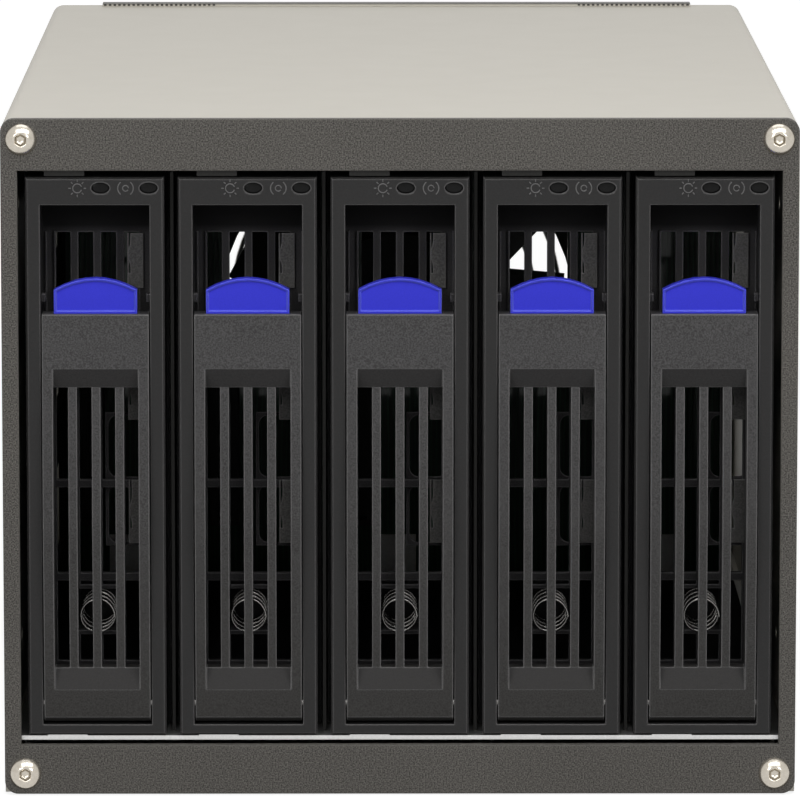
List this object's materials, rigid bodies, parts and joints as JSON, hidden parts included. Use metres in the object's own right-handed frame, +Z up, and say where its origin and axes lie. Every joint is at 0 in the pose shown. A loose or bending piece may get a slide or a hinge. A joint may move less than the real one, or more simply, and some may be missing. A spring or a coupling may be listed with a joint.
{
  "type": "hot swap drive cage",
  "caption": "Folded steel cage with side-by-side hot swap trays for 3.5 inch drives, each with a sprung ejector lever and blue latch button, with a backplane and a rear fan",
  "frame": {"origin": "centre of the case's bottom face, on the surface it stands on", "axes": "+X is the cage's right seen from the front, +Y runs to the rear, +Z is up"},
  "size_m": [0.149, 0.2295, 0.1287],
  "materials": {
    "powder_coat": "fine textured powder coat, dark warm grey",
    "case_sheet": "folded zinc-coated steel sheet, matt",
    "zinc": "zinc-plated sheet",
    "tray_plastic": "black moulded plastic, satin",
    "lever_plastic": "black moulded plastic, finely textured",
    "light_pipe": "smoked clear plastic",
    "button_plastic": "blue moulded plastic, satin",
    "pin_steel": "ground steel pin",
    "spring_steel": "plated spring wire",
    "circuit_board": "green solder mask",
    "connector_plastic": "black moulded plastic",
    "fan_plastic": "black moulded plastic",
    "guard_steel": "plated steel, stamped",
    "screw_nickel": "nickel plated",
    "screw_zinc": "zinc plated"
  },
  "bodies": {
    "cage": {"front_frame": "powder_coat", "top_cover": "case_sheet", "base_pan": "case_sheet", "floor_guide": "zinc", "roof_guide": "zinc", "bay_dividers": "zinc", "backplane_board": "circuit_board", "drive_connectors": "connector_plastic", "data_connectors": "connector_plastic", "power_connectors": "connector_plastic", "rear_panel": "case_sheet", "fan_frame": "fan_plastic", "fan_guard": "guard_steel", "front_screws": "screw_nickel", "panel_screws": "screw_zinc", "fan_screws": "screw_zinc"},
    "fan": {"fan_rotor": "fan_plastic"},
    "tray_1": {"tray_bezel_1": "tray_plastic", "tray_sled_1": "tray_plastic", "light_pipes_1": "light_pipe", "lever_pin_1": "pin_steel", "lever_spring_1": "spring_steel"},
    "lever_1": {"lever_1": "lever_plastic", "button_spring_1": "spring_steel"},
    "button_1": {"latch_button_1": "button_plastic"},
    "tray_2": {"tray_bezel_2": "tray_plastic", "tray_sled_2": "tray_plastic", "light_pipes_2": "light_pipe", "lever_pin_2": "pin_steel", "lever_spring_2": "spring_steel"},
    "lever_2": {"lever_2": "lever_plastic", "button_spring_2": "spring_steel"},
    "button_2": {"latch_button_2": "button_plastic"},
    "tray_3": {"tray_bezel_3": "tray_plastic", "tray_sled_3": "tray_plastic", "light_pipes_3": "light_pipe", "lever_pin_3": "pin_steel", "lever_spring_3": "spring_steel"},
    "lever_3": {"lever_3": "lever_plastic", "button_spring_3": "spring_steel"},
    "button_3": {"latch_button_3": "button_plastic"},
    "tray_4": {"tray_bezel_4": "tray_plastic", "tray_sled_4": "tray_plastic", "light_pipes_4": "light_pipe", "lever_pin_4": "pin_steel", "lever_spring_4": "spring_steel"},
    "lever_4": {"lever_4": "lever_plastic", "button_spring_4": "spring_steel"},
    "button_4": {"latch_button_4": "button_plastic"},
    "tray_5": {"tray_bezel_5": "tray_plastic", "tray_sled_5": "tray_plastic", "light_pipes_5": "light_pipe", "lever_pin_5": "pin_steel", "lever_spring_5": "spring_steel"},
    "lever_5": {"lever_5": "lever_plastic", "button_spring_5": "spring_steel"},
    "button_5": {"latch_button_5": "button_plastic"}
  },
  "joints": [
    {"name": "fan_spin", "type": "hinge", "parent": "cage", "child": "fan", "pos_m": [0, 0.099, 0.06405], "axis": [0, 1, 0], "continuous": true},
    {"name": "tray_slide_1", "type": "slide", "parent": "cage", "child": "tray_1", "axis": [0, -1, 0], "range_m": [0, 0.17]},
    {"name": "lever_hinge_1", "type": "hinge", "parent": "tray_1", "child": "lever_1", "pos_m": [-0.057, -0.1093, 0.0169], "axis": [1, 0, 0], "range_deg": [0, 75]},
    {"name": "latch_press_1", "type": "slide", "parent": "lever_1", "child": "button_1", "axis": [0, 0, -1], "range_m": [0, 0.0022], "stiffness_N_per_m": 300, "deforming": ["button_spring_1"]},
    {"name": "tray_slide_2", "type": "slide", "parent": "cage", "child": "tray_2", "axis": [0, -1, 0], "range_m": [0, 0.17]},
    {"name": "lever_hinge_2", "type": "hinge", "parent": "tray_2", "child": "lever_2", "pos_m": [-0.0285, -0.1093, 0.0169], "axis": [1, 0, 0], "range_deg": [0, 75]},
    {"name": "latch_press_2", "type": "slide", "parent": "lever_2", "child": "button_2", "axis": [0, 0, -1], "range_m": [0, 0.0022], "stiffness_N_per_m": 300, "deforming": ["button_spring_2"]},
    {"name": "tray_slide_3", "type": "slide", "parent": "cage", "child": "tray_3", "axis": [0, -1, 0], "range_m": [0, 0.17]},
    {"name": "lever_hinge_3", "type": "hinge", "parent": "tray_3", "child": "lever_3", "pos_m": [0, -0.1093, 0.0169], "axis": [1, 0, 0], "range_deg": [0, 75]},
    {"name": "latch_press_3", "type": "slide", "parent": "lever_3", "child": "button_3", "axis": [0, 0, -1], "range_m": [0, 0.0022], "stiffness_N_per_m": 300, "deforming": ["button_spring_3"]},
    {"name": "tray_slide_4", "type": "slide", "parent": "cage", "child": "tray_4", "axis": [0, -1, 0], "range_m": [0, 0.17]},
    {"name": "lever_hinge_4", "type": "hinge", "parent": "tray_4", "child": "lever_4", "pos_m": [0.0285, -0.1093, 0.0169], "axis": [1, 0, 0], "range_deg": [0, 75]},
    {"name": "latch_press_4", "type": "slide", "parent": "lever_4", "child": "button_4", "axis": [0, 0, -1], "range_m": [0, 0.0022], "stiffness_N_per_m": 300, "deforming": ["button_spring_4"]},
    {"name": "tray_slide_5", "type": "slide", "parent": "cage", "child": "tray_5", "axis": [0, -1, 0], "range_m": [0, 0.17]},
    {"name": "lever_hinge_5", "type": "hinge", "parent": "tray_5", "child": "lever_5", "pos_m": [0.057, -0.1093, 0.0169], "axis": [1, 0, 0], "range_deg": [0, 75]},
    {"name": "latch_press_5", "type": "slide", "parent": "lever_5", "child": "button_5", "axis": [0, 0, -1], "range_m": [0, 0.0022], "stiffness_N_per_m": 300, "deforming": ["button_spring_5"]}
  ]
}
